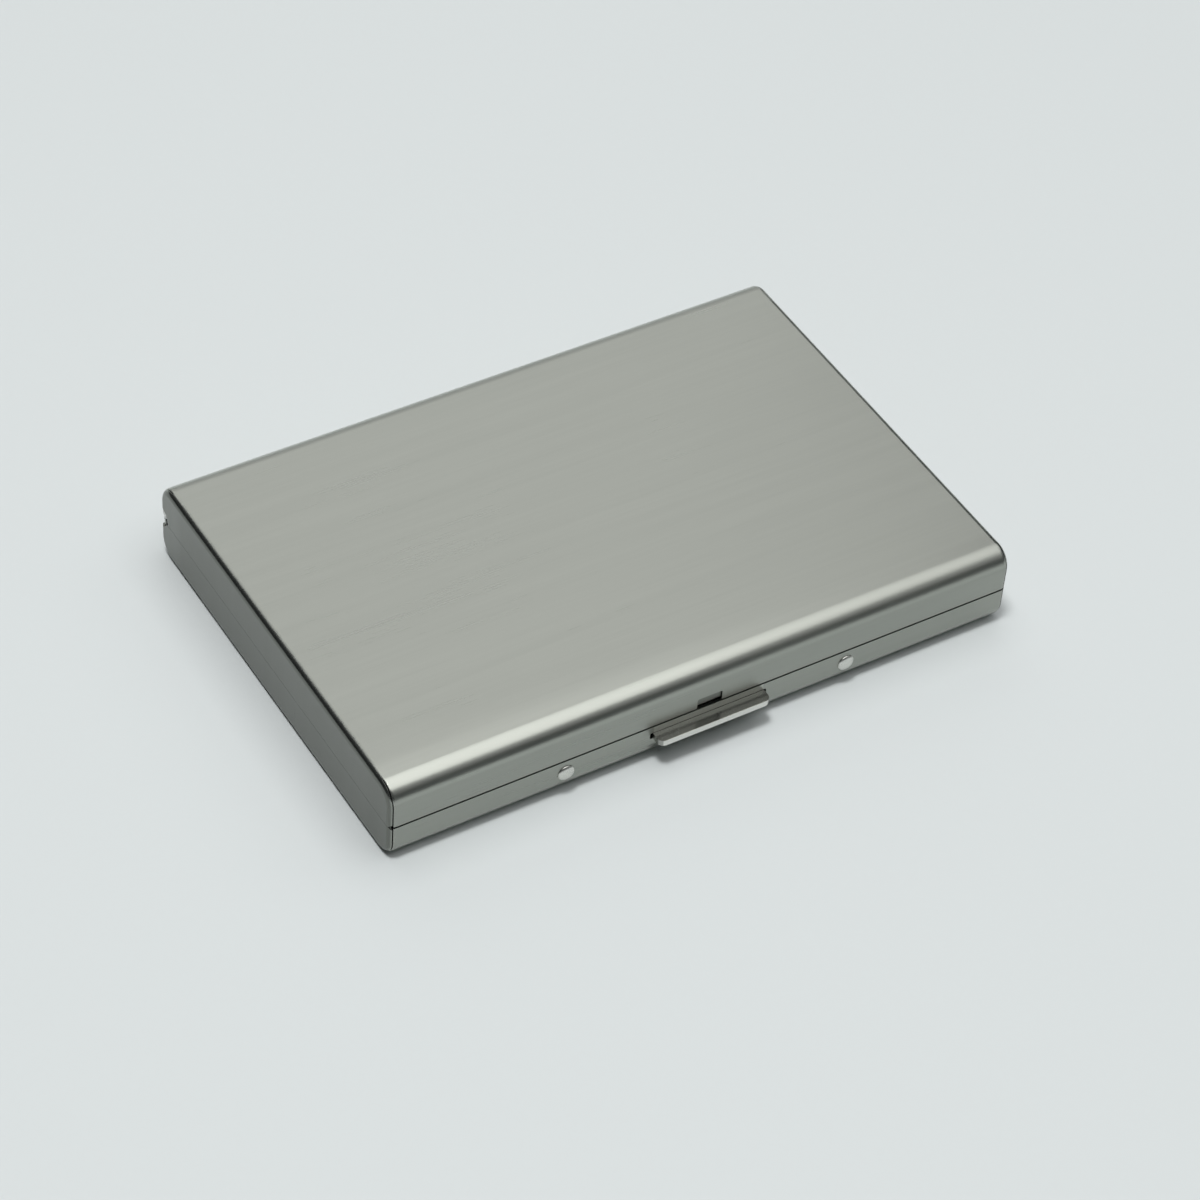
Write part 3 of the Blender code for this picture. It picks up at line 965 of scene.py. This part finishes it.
    def lip_notch(self) -> bpy.types.Object:
        """Return the cutter of the lip's notch, with round upper corners."""
        top = self.notch_top
        notch = self.window("lip_notch", self.notch_half, self.case.parting - self.reach, top)
        return round_edges(
            notch, self.notch_corner, 6, lambda a, b: runs_inward(a, b) and min(a.z, b.z) > top - HAIR
        )

    def flap(self) -> bpy.types.Object:
        """Return the catch flap, which leans outwards in the notch and rolls inwards at its lower edge."""
        front, low, roll = self.case.front, self.flap_low, self.flap_roll
        back, tip = front + self.case.flap_back, front + self.case.tongue_reach
        root, top, foot = (front + face for face in self.flap_faces)
        root_z, tongue_top = self.notch_top + self.flap_root, low + self.flap_sheet
        points = [(root, root_z), (top, self.notch_top)]
        points += arc((foot + roll, low + roll), roll, 170, 270, 6)
        points += [(tip, low), (tip, tongue_top), (back + 0.1 * MM, tongue_top)]
        points += [(back, tongue_top + 0.1 * MM), (back, root_z)]
        half = self.notch_half - self.flap_side
        return plate("flap", points, Facing.X, -half, half)

    def tray(self) -> bpy.types.Object:
        """Model the tray: rear flange corners cut back, tab slot and rivet holes."""
        case = self.case
        obj = self.half("tray_skin", False)
        rear = [
            (case.hinge_y - 1.35 * MM, case.parting + 0.2 * MM),
            (case.hinge_y - 0.05 * MM, case.parting - 1.25 * MM),
            (case.hinge_y + self.reach, case.parting - 1.25 * MM),
            (case.hinge_y + self.reach, case.parting + 0.2 * MM),
        ]
        inner = case.half_length - case.sheet - case.seam / 2
        far_x = case.half_length + self.reach
        cutters = self.seams() + self.front_cuts(False)
        cutters.append(plate("rear_cut", rear, Facing.X, -far_x, -inner))
        cutters.append(plate("rear_cut", rear, Facing.X, inner, far_x))
        slot = self.window("tab_slot", case.slot_half, self.slot_low, self.slot_high)
        cutters.append(round_edges(slot, self.slot_corner, 4, runs_inward))
        for x in (-case.rivet_x, case.rivet_x):
            outside, inside = (x, case.front - MM, case.rivet_z), (x, case.front_inside + MM, case.rivet_z)
            cutters.append(rod("rivet_hole", case.rivet_hole, outside, inside))
        combine(obj, cutters, "DIFFERENCE")
        ease_edges(obj, self.edge_round)
        return obj

    def unroll(self, obj: bpy.types.Object) -> None:
        """Give the sheet the flat coordinates it had before folding, so that its grain runs over the bends.

        Args:
            obj: The shell.
        """
        case = self.case
        for old in list(obj.data.uv_layers):
            obj.data.uv_layers.remove(old)
        layer = obj.data.uv_layers.new(name="UVMap")
        flat_y = case.half_width - case.long_bend
        flat_x = case.half_length - case.end_bend
        flange_x = case.half_length - case.sheet - 0.02 * MM
        for face in obj.data.polygons:
            on_flange = abs(face.normal.x) > 0.9 and abs(face.center.x) > flange_x
            for index in face.loop_indices:
                co = obj.data.vertices[obj.data.loops[index].vertex_index].co
                drop = min(abs(co.z), abs(case.height - co.z))
                sine = 1.0 if on_flange else min(max((abs(co.x) - flat_x) / case.end_bend, 0.0), 1.0)
                u = min(abs(co.x), flat_x) + case.end_bend * math.asin(sine)
                if on_flange:
                    u += max(drop - case.end_bend, 0.0)
                beyond = max(abs(co.y) - flat_y, 0.0)
                turn = math.atan2(beyond, max(case.long_bend - drop, 1e-9)) if beyond > 0.0 else 0.0
                v = min(abs(co.y), flat_y) + case.long_bend * turn + max(drop - case.long_bend, 0.0)
                if on_flange:
                    v = abs(co.y)
                layer.data[index].uv = (math.copysign(u, co.x), math.copysign(v, co.y))

    def build(self) -> None:
        """Model both halves and dress them."""
        finish = HairlineSteel("hairline_steel").material()
        for obj, body, node in ((self.tray(), "tray", "tray_shell"), (self.lid(), "lid", "lid_shell")):
            self.unroll(obj)
            dress(obj, finish, body, node)


@dataclass
class Hinge:
    """The rolled hinge: two leaves with alternating knuckles, and the pin."""

    case: CaseSizes
    knuckle: float = 0.82 * MM
    bore: float = 0.50 * MM
    knuckles: int = 9
    gap: float = 0.1 * MM
    leaf_sheet: float = 0.35 * MM
    leaf_clear: float = 0.08 * MM
    leaf_half: float = 47.7 * MM
    bend_sweep: float = 50.0
    edge_round: float = 0.04 * MM
    pin_round: float = 0.12 * MM

    def spans(self, first: int) -> list[tuple[float, float]]:
        """Return start and end along X of every second knuckle."""
        low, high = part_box("hinge_pin")
        start = low.x + self.case.touch
        pitch = (high.x - self.case.touch - start) / self.knuckles
        return [
            (start + i * pitch + self.gap / 2, start + (i + 1) * pitch - self.gap / 2)
            for i in range(first, self.knuckles, 2)
        ]

    def along_axis(
        self, name: str, radius: float, start: float, end: float, sides: int = 48
    ) -> bpy.types.Object:
        """Return a rod on the hinge's axis between two places along X."""
        y, z = self.case.hinge_y, self.case.hinge_z
        return rod(name, radius, (start, y, z), (end, y, z), sides)

    def roll(self, leaf: bpy.types.Object, first: int, low: float, high: float) -> bpy.types.Object:
        """Join the knuckles and their risers to a leaf and bore them.

        Args:
            leaf: The flat leaf.
            first: The first of its knuckles.
            low: Where the risers start, in Z.
            high: Where they end.

        Returns:
            The leaf.
        """
        case = self.case
        face = case.half_width - case.sheet - self.leaf_clear
        shapes = []
        for start, end in self.spans(first):
            shapes.append(block("riser", (start, face - self.leaf_sheet, low), (end, face, high)))
            shapes.append(self.along_axis("knuckle", self.knuckle, start, end))
        combine(leaf, shapes, "UNION")
        bore = self.along_axis("bore", self.bore, -case.half_length, case.half_length)
        combine(leaf, [bore], "DIFFERENCE")
        ease_edges(leaf, self.edge_round, 2, 35.0)
        return leaf

    def build(self) -> None:
        """Model the leaves and the pin and dress them."""
        case = self.case
        finish = SatinSteel("hinge_steel", (0.48, 0.49, 0.47), 0.33).material()
        low_x, high_x = -self.leaf_half, self.leaf_half
        face = case.half_width - case.sheet - self.leaf_clear
        tray_leaf = block(
            "tray_hinge", (low_x, face - self.leaf_sheet, case.long_bend - 0.1 * MM),
            (high_x, face, case.parting - 0.02 * MM),
        )
        self.roll(tray_leaf, 0, case.parting - 0.4 * MM, case.hinge_z - 0.1 * MM)
        dress(tray_leaf, finish, "tray", "tray_hinge_leaf")

        centre = (case.half_width - case.long_bend, case.height - case.long_bend)
        outer = face - centre[0]
        inner = outer - self.leaf_sheet
        low = case.hinge_z + self.knuckle + 0.15 * MM
        points = [(centre[0] + inner, low), (centre[0] + outer, low)]
        points += arc(centre, outer, 0, self.bend_sweep, 12)
        points += arc(centre, inner, self.bend_sweep, 0, 12)
        lid_leaf = plate("lid_hinge", points, Facing.X, low_x, high_x)
        self.roll(lid_leaf, 1, case.hinge_z + 0.1 * MM, low + 0.3 * MM)
        dress(lid_leaf, finish, "lid", "lid_hinge_leaf")

        pin_low, pin_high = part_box("hinge_pin")
        pin = self.along_axis("pin", (pin_high.z - pin_low.z) / 2, pin_low.x, pin_high.x, 32)
        ease_edges(pin, self.pin_round, 3, 60.0)
        pin_finish = SatinSteel("pin_steel", (0.60, 0.60, 0.57), 0.26).material()
        dress(pin, pin_finish, "tray", "hinge_pin")


@dataclass
class Latch:
    """The push latch: thumb tab with carrier and hook, its leaf spring and two rivets."""

    case: CaseSizes
    tab_inset: float = 0.1 * MM
    tab_rise: float = 1.05 * MM
    tab_sheet: float = 0.9 * MM
    tab_corner: float = 1.0 * MM
    tab_round: float = 0.14 * MM
    # Depth of the tab's front edge that is kept clear of the painted shade on its faces.
    tab_unshaded_edge: float = 0.10 * MM
    carrier: float = 0.45 * MM
    carrier_rise: float = 1.75 * MM
    carrier_gap: float = 0.06 * MM
    hook_half: float = 1.6 * MM
    tongue_top: float = 7.0 * MM
    spring_sheet: float = 0.28 * MM
    spring_free: float = 20.0 * MM
    spring_tied: float = 9.3 * MM
    spring_slices: int = 24
    window_drop: float = 0.35 * MM
    window_rise: float = 1.2 * MM
    window_corner: float = 0.4 * MM
    head_height: float = 0.45 * MM
    head_radius: float = 1.25 * MM
    rivet_shank: float = 0.6 * MM
    tail_radius: float = 1.0 * MM
    tail_height: float = 0.25 * MM
    tail_round: float = 0.16 * MM
    edge_round: float = 0.04 * MM

    def tab(self) -> bpy.types.Object:
        """Model the moving piece: the tab, its carrier behind the wall, and the hook."""
        case = self.case
        low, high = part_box("thumb_latch")
        half = high.x - self.tab_inset
        tab_low = low.z + self.tab_rise
        back = case.front_inside + case.touch + self.spring_sheet + self.carrier_gap
        outline = tongue_outline((-half, low.y), (half, back + self.carrier / 2), self.tab_corner, 12)
        tab = plate("thumb_tab", outline, Facing.Z, tab_low, tab_low + self.tab_sheet)
        ease_edges(tab, self.tab_round, 4, 60.0)
        carrier_top = tab_low + self.carrier_rise
        carrier = block("carrier", (low.x, back, low.z), (high.x, back + self.carrier, carrier_top))
        hook = plate("hook", self.hook_outline(back), Facing.X, -self.hook_half, self.hook_half)
        combine(tab, [carrier, hook], "UNION")
        ease_edges(tab, self.edge_round, 2, 45.0)
        return tab

    def tab_finish(self) -> SatinSteel:
        """Return the tab's finish: faces darkened with painted shade, and a thin edge along its front left
        brighter.
        """
        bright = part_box("thumb_latch")[0].y + self.tab_unshaded_edge
        return SatinSteel("latch_steel", (0.72, 0.72, 0.68), 0.24, edge_y=bright, painted_shade_tone=0.5)

    def hook_outline(self, back: float) -> list[tuple[float, float]]:
        """Return the hook's side outline: it rises behind the catch tongue and its nose reaches over it."""
        case = self.case
        foot_front, foot_back = back + 0.01 * MM, back + self.carrier - 0.01 * MM
        stem_front = case.front + case.tongue_reach + 0.1 * MM
        stem_back = stem_front + self.carrier
        nose = case.front + case.flap_back + 0.15 * MM
        ledge = self.tongue_top + 0.08 * MM
        foot = case.parting - 0.65 * MM
        return [
            (foot_front, foot), (foot_back, foot), (stem_back, case.parting - 0.1 * MM),
            (stem_back, ledge + 0.65 * MM), (stem_front, ledge + 0.65 * MM),
            (nose, ledge + 0.2 * MM), (nose, ledge), (stem_front, ledge),
            (stem_front, case.parting + 0.1 * MM), (foot_front, foot + 0.2 * MM),
        ]

    def spring_half(self, side: int) -> bpy.types.Object:
        """Model one half of the leaf spring, from its rivet to the middle of the case."""
        case = self.case
        low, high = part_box("latch_spring")
        tab_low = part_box("thumb_latch")[0].z + self.tab_rise
        name = "spring_right" if side > 0 else "spring_left"
        xs = sorted((0.0, side * high.x))
        strip = block(name, (xs[0], low.y, low.z), (xs[1], high.y, high.z))
        near, far = low.y - MM, high.y + MM
        window = block(
            "window", (-case.slot_half, near, tab_low - self.window_drop),
            (case.slot_half, far, tab_low + self.window_rise),
        )
        round_edges(window, self.window_corner, 4, runs_inward)
        x = side * case.rivet_x
        hole = rod("hole", case.rivet_hole, (x, near, case.rivet_z), (x, far, case.rivet_z))
        combine(strip, [window, hole], "DIFFERENCE")
        places = [(side * step * MM, 0.0, 0.0) for step in range(1, self.spring_slices)]
        slice_across(strip, places, (1.0, 0.0, 0.0))
        ease_edges(strip, self.edge_round, 2, 60.0)
        return strip

    def rivet(self, name: str, across: float) -> bpy.types.Object:
        """Model a rivet: a low dome outside, a shank, and the set tail inside."""
        case = self.case
        under = case.front - 0.02 * MM
        inside = case.front_inside + case.touch + self.spring_sheet + 0.04 * MM
        end, level = inside + self.tail_height, case.rivet_z
        deselect_all()
        bpy.ops.mesh.primitive_uv_sphere_add(
            segments=64, ring_count=48, radius=self.head_radius, location=(across, under, level),
            rotation=(math.pi / 2, 0.0, 0.0),
        )
        bpy.context.object.scale.z = self.head_height / self.head_radius
        head = settle(bpy.context.object, name)
        edit_all(head)
        bpy.ops.mesh.bisect(
            plane_co=(0.0, under, 0.0), plane_no=(0.0, 1.0, 0.0), clear_outer=True, use_fill=True,
            threshold=HAIR,
        )
        leave_edit()
        overlap = 0.05 * MM
        foot, head_end = (across, inside + 2 * overlap, level), (across, under - overlap, level)
        shank = rod("shank", self.rivet_shank, head_end, foot)
        tail = rod("tail", self.tail_radius, (across, inside, level), (across, end, level))
        round_edges(tail, self.tail_round, 4, lambda a, b: min(a.y, b.y) > end - HAIR)
        combine(head, [shank, tail], "UNION")
        ease_edges(head, 0.05 * MM, 2, 50.0)
        return head

    def build(self) -> None:
        """Model the latch's pieces and dress them."""
        dress(self.tab(), self.tab_finish().material(), "latch", "thumb_latch")
        rivet_finish = SatinSteel("rivet_steel", (0.70, 0.70, 0.66), 0.30).material()
        for name, node in (("rivet_left", "left_rivet"), ("rivet_right", "right_rivet")):
            low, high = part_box(node)
            dress(self.rivet(name, (low.x + high.x) / 2), rivet_finish, "tray", node)
        spring_finish = SatinSteel("spring_steel", (0.40, 0.41, 0.40), 0.30).material()
        for side in (-1, 1):
            half = self.spring_half(side)
            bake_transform(half)
            finish_piece(half, spring_finish, "latch_spring")


@dataclass
class Pockets:
    """The accordion of card pockets: walls, folded ends, spines, and the adhesive sheets."""

    case: CaseSizes
    count: int = 6
    wall_corner: float = 2.0 * MM
    weld_inset: float = 1.6 * MM
    weld_width: float = 0.7 * MM
    weld_depth: float = 0.05 * MM
    film: float = 0.12 * MM
    fold_rear: float = 0.9 * MM
    fold_reach: float = 0.98
    fold_steps: int = 14
    length_steps: int = 30
    crease: float = 0.01
    spine_bow: float = 0.28 * MM

    def wall(self, index: int) -> bpy.types.Object:
        """Model one pocket wall with round front corners and a pressed weld line near its edge."""
        low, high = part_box(f"pocket_wall_{index}")
        outline = tongue_outline(low, high, self.wall_corner, 10)
        wall = plate(f"pocket_{index}", outline, Facing.Z, low.z, high.z)
        self.press_weld(wall)
        ease_edges(wall, 0.05 * MM, 2, 60.0)
        return wall

    def press_weld(self, wall: bpy.types.Object) -> None:
        """Press a shallow weld line into both faces of a pocket wall."""
        for up in (-1, 1):
            select_faces(wall, lambda normal: normal.z * up > 0.9)
            bpy.ops.mesh.dissolve_faces()
            bpy.ops.mesh.inset(thickness=self.weld_inset)
            bpy.ops.mesh.inset(thickness=self.weld_width / 2, depth=-self.weld_depth)
            bpy.ops.mesh.inset(thickness=self.weld_width / 2, depth=self.weld_depth)
            leave_edit()

    @staticmethod
    def unsmooth(share: float) -> float:
        """Return t where t * t * (3 - 2 * t) equals the share."""
        return 0.5 - math.sin(math.asin(1.0 - 2.0 * share) / 3.0)

    def follow_fan(self, piece: bpy.types.Object) -> None:
        """Apply a piece's place to its mesh; it is not made to open with its two walls.

        Args:
            piece: The piece.
        """
        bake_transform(piece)

    def gusset(self, side: int, index: int) -> bpy.types.Object:
        """Model a pocket's folded end, a film with a soft crease that grows deeper towards the front."""
        prefix = "right" if side > 0 else "left"
        low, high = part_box(f"{prefix}_gusset_{index}")
        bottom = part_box(f"pocket_wall_{index - 1}")[1].z
        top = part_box(f"pocket_wall_{index}")[0].z
        edge = (high.x if side > 0 else -low.x) - self.film / 2
        depth_front = high.x - low.x - self.film
        deselect_all()
        bpy.ops.mesh.primitive_grid_add(
            x_subdivisions=self.fold_steps, y_subdivisions=self.length_steps, size=2.0
        )
        fold = bpy.context.object
        fold.name = fold.data.name = f"{prefix}_fold_{index}"
        middle, half_gap = (bottom + top) / 2, (top - bottom - self.film) / 2
        for vert in fold.data.vertices:
            level, share = vert.co.x, (1 - vert.co.y) / 2
            depth = self.fold_rear + (depth_front - self.fold_rear) * share
            soft = 1 - math.sqrt(level * level + self.crease) + self.crease / 2
            vert.co = (
                side * (edge - depth * soft * self.fold_reach),
                high.y + (low.y - high.y) * share,
                middle + half_gap * math.sin(level * math.pi / 2),
            )
        apply_modifier(fold, "SOLIDIFY", {"thickness": self.film, "offset": 0.0})
        edit_all(fold)
        bpy.ops.mesh.normals_make_consistent(inside=False)
        leave_edit()
        smooth(fold, 60.0)
        return fold

    def spine(self, index: int) -> bpy.types.Object:
        """Model the strip that closes a pocket towards the hinge, bowed a little."""
        low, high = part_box(f"pocket_spine_{index}")
        below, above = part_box(f"pocket_wall_{index - 1}"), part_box(f"pocket_wall_{index}")
        bottom, top = (below[0].z + below[1].z) / 2, (above[0].z + above[1].z) / 2
        strip = block(f"spine_{index}", (low.x, below[1].y - 0.02 * MM, bottom), (high.x, high.y, top))
        levels = [(0.0, 0.0, bottom + (top - bottom) * share) for share in (0.25, 0.5, 0.75)]
        slice_across(strip, levels, (0.0, 0.0, 1.0))
        for vert in strip.data.vertices:
            share = (vert.co.z - bottom) / (top - bottom)
            vert.co.y += self.spine_bow * math.sin(math.pi * share)
        ease_edges(strip, 0.03 * MM, 2, 60.0)
        return strip

    def build(self) -> None:
        """Model the accordion and dress it."""
        sheet = PocketSheet("pocket_sheet").material()
        film = FoldedFilm("gusset_film").material()
        for index in range(self.count + 1):
            body = {0: "tray", self.count: "lid"}.get(index, f"wall_{index}")
            dress(self.wall(index), sheet, body, f"pocket_wall_{index}")
        for index in range(1, self.count + 1):
            for side, prefix in ((-1, "left"), (1, "right")):
                fold = self.gusset(side, index)
                self.follow_fan(fold)
                finish_piece(fold, film, f"{prefix}_gusset_{index}")
            spine = self.spine(index)
            self.follow_fan(spine)
            finish_piece(spine, sheet, f"pocket_spine_{index}")
        adhesive = AdhesiveSheet("adhesive").material()
        for node in ("tray_tape", "lid_tape"):
            tape = frame["nodes"][node]
            tape.data.materials.clear()
            tape.data.materials.append(adhesive)
            log.info("%s: its finish only", node)


# ---------------------------------------------------------------- the studio


@dataclass
class Studio:
    """Ground, lights and camera."""

    ground: float = 6.0
    ground_drop: float = 0.02 * MM
    azimuth: float = -33.717
    elevation: float = 44.269
    roll: float = 4.378
    distance: float = 0.5506
    aim: tuple[float, float, float] = (0.00073, -0.00403, 0.0)
    lens: float = 118.83
    sensor: float = 36.0
    glow: tuple[float, float, float, float] = (0.9, 0.97, 1.0, 1.0)
    glow_strength: float = 0.06

    def floor(self) -> None:
        """Lay the pale ground under the case."""
        deselect_all()
        bpy.ops.mesh.primitive_plane_add(size=self.ground, location=(0.0, 0.0, -self.ground_drop))
        ground = bpy.context.object
        ground.name = "ground"
        ground.data.materials.append(StudioPaper("studio_paper").material())

    def panel(
        self, name: str, place: Point, size: Point, power: float, colour: Point, reflected: bool = True
    ) -> None:
        """Hang a rectangular soft light that faces the case.

        Args:
            name: Its name.
            place: Its centre.
            size: Its width and height.
            power: Its power in watts.
            colour: Its colour.
            reflected: Whether it shows in the steel.
        """
        data = bpy.data.lights.new(name, "AREA")
        data.shape = "RECTANGLE"
        data.size, data.size_y = size
        data.energy = power
        data.color = colour
        light = bpy.data.objects.new(name, data)
        away = Vector(place).normalized()
        steep = away.z > 0.9
        across = (Vector((0.0, 1.0, 0.0)) if steep else Vector((0.0, 0.0, 1.0))).cross(away).normalized()
        turned = Matrix((across, away.cross(across), away)).transposed().to_4x4()
        turned.translation = Vector(place)
        light.matrix_world = turned
        light.visible_glossy = reflected
        bpy.context.scene.collection.objects.link(light)

    def lights(self) -> None:
        """Hang the lights and set the room's dim glow."""
        white = (1.0, 1.0, 1.0)
        self.panel("key", (-0.28, -0.13, 1.47), (0.3, 0.3), 12.0, white, False)
        self.panel("glint", (-0.30, -0.14, 1.6), (0.12, 0.12), 0.6, white)
        self.panel("overhead", (0.13, -0.09, 1.5), (1.45, 2.0), 15.0, white)
        self.panel("rear", (0.40, 1.6, 1.3), (1.9, 1.0), 4.6, white)
        self.panel("rear_low", (0.6, 1.7, 0.45), (2.0, 0.6), 1.9, white)
        self.panel("right", (1.6, -0.1, 1.4), (1.4, 0.9), 3.0, white)
        self.panel("front", (1.0, -1.5, 1.5), (1.2, 1.0), 0.9, white)
        world = bpy.data.worlds.new("room")
        world.use_nodes = True
        background = world.node_tree.nodes["Background"]
        background.inputs["Color"].default_value = self.glow
        background.inputs["Strength"].default_value = self.glow_strength
        bpy.context.scene.world = world

    def camera(self) -> None:
        """Set the camera at the view's direction, distance and roll."""
        turn, tilt, roll = (math.radians(angle) for angle in (self.azimuth, self.elevation, self.roll))
        back = Vector((math.sin(turn) * math.cos(tilt), -math.cos(turn) * math.cos(tilt), math.sin(tilt)))
        level = (-back).cross(Vector((0.0, 0.0, 1.0))).normalized()
        rise = level.cross(-back)
        right = level * math.cos(roll) + rise * math.sin(roll)
        up = rise * math.cos(roll) - level * math.sin(roll)
        data = bpy.data.cameras.new("camera")
        data.lens = self.lens
        data.sensor_width = self.sensor
        data.clip_start = 0.01
        camera = bpy.data.objects.new("camera", data)
        place = Matrix((right, up, back)).transposed().to_4x4()
        place.translation = Vector(self.aim) + back * self.distance
        camera.matrix_world = place
        bpy.context.scene.collection.objects.link(camera)
        bpy.context.scene.camera = camera

    def build(self) -> None:
        """Set up the whole studio."""
        bpy.context.scene.view_settings.view_transform = "Standard"
        self.floor()
        self.lights()
        self.camera()


def main() -> None:
    """Read the shared sizes, set up the studio, and build every sub-assembly."""
    logging.basicConfig(level=logging.INFO, format="%(name)s %(message)s")
    case = CaseSizes()
    Studio().build()
    Shells(case).build()
    Hinge(case).build()
    Latch(case).build()
    Pockets(case).build()


if __name__ == "__main__":
    main()
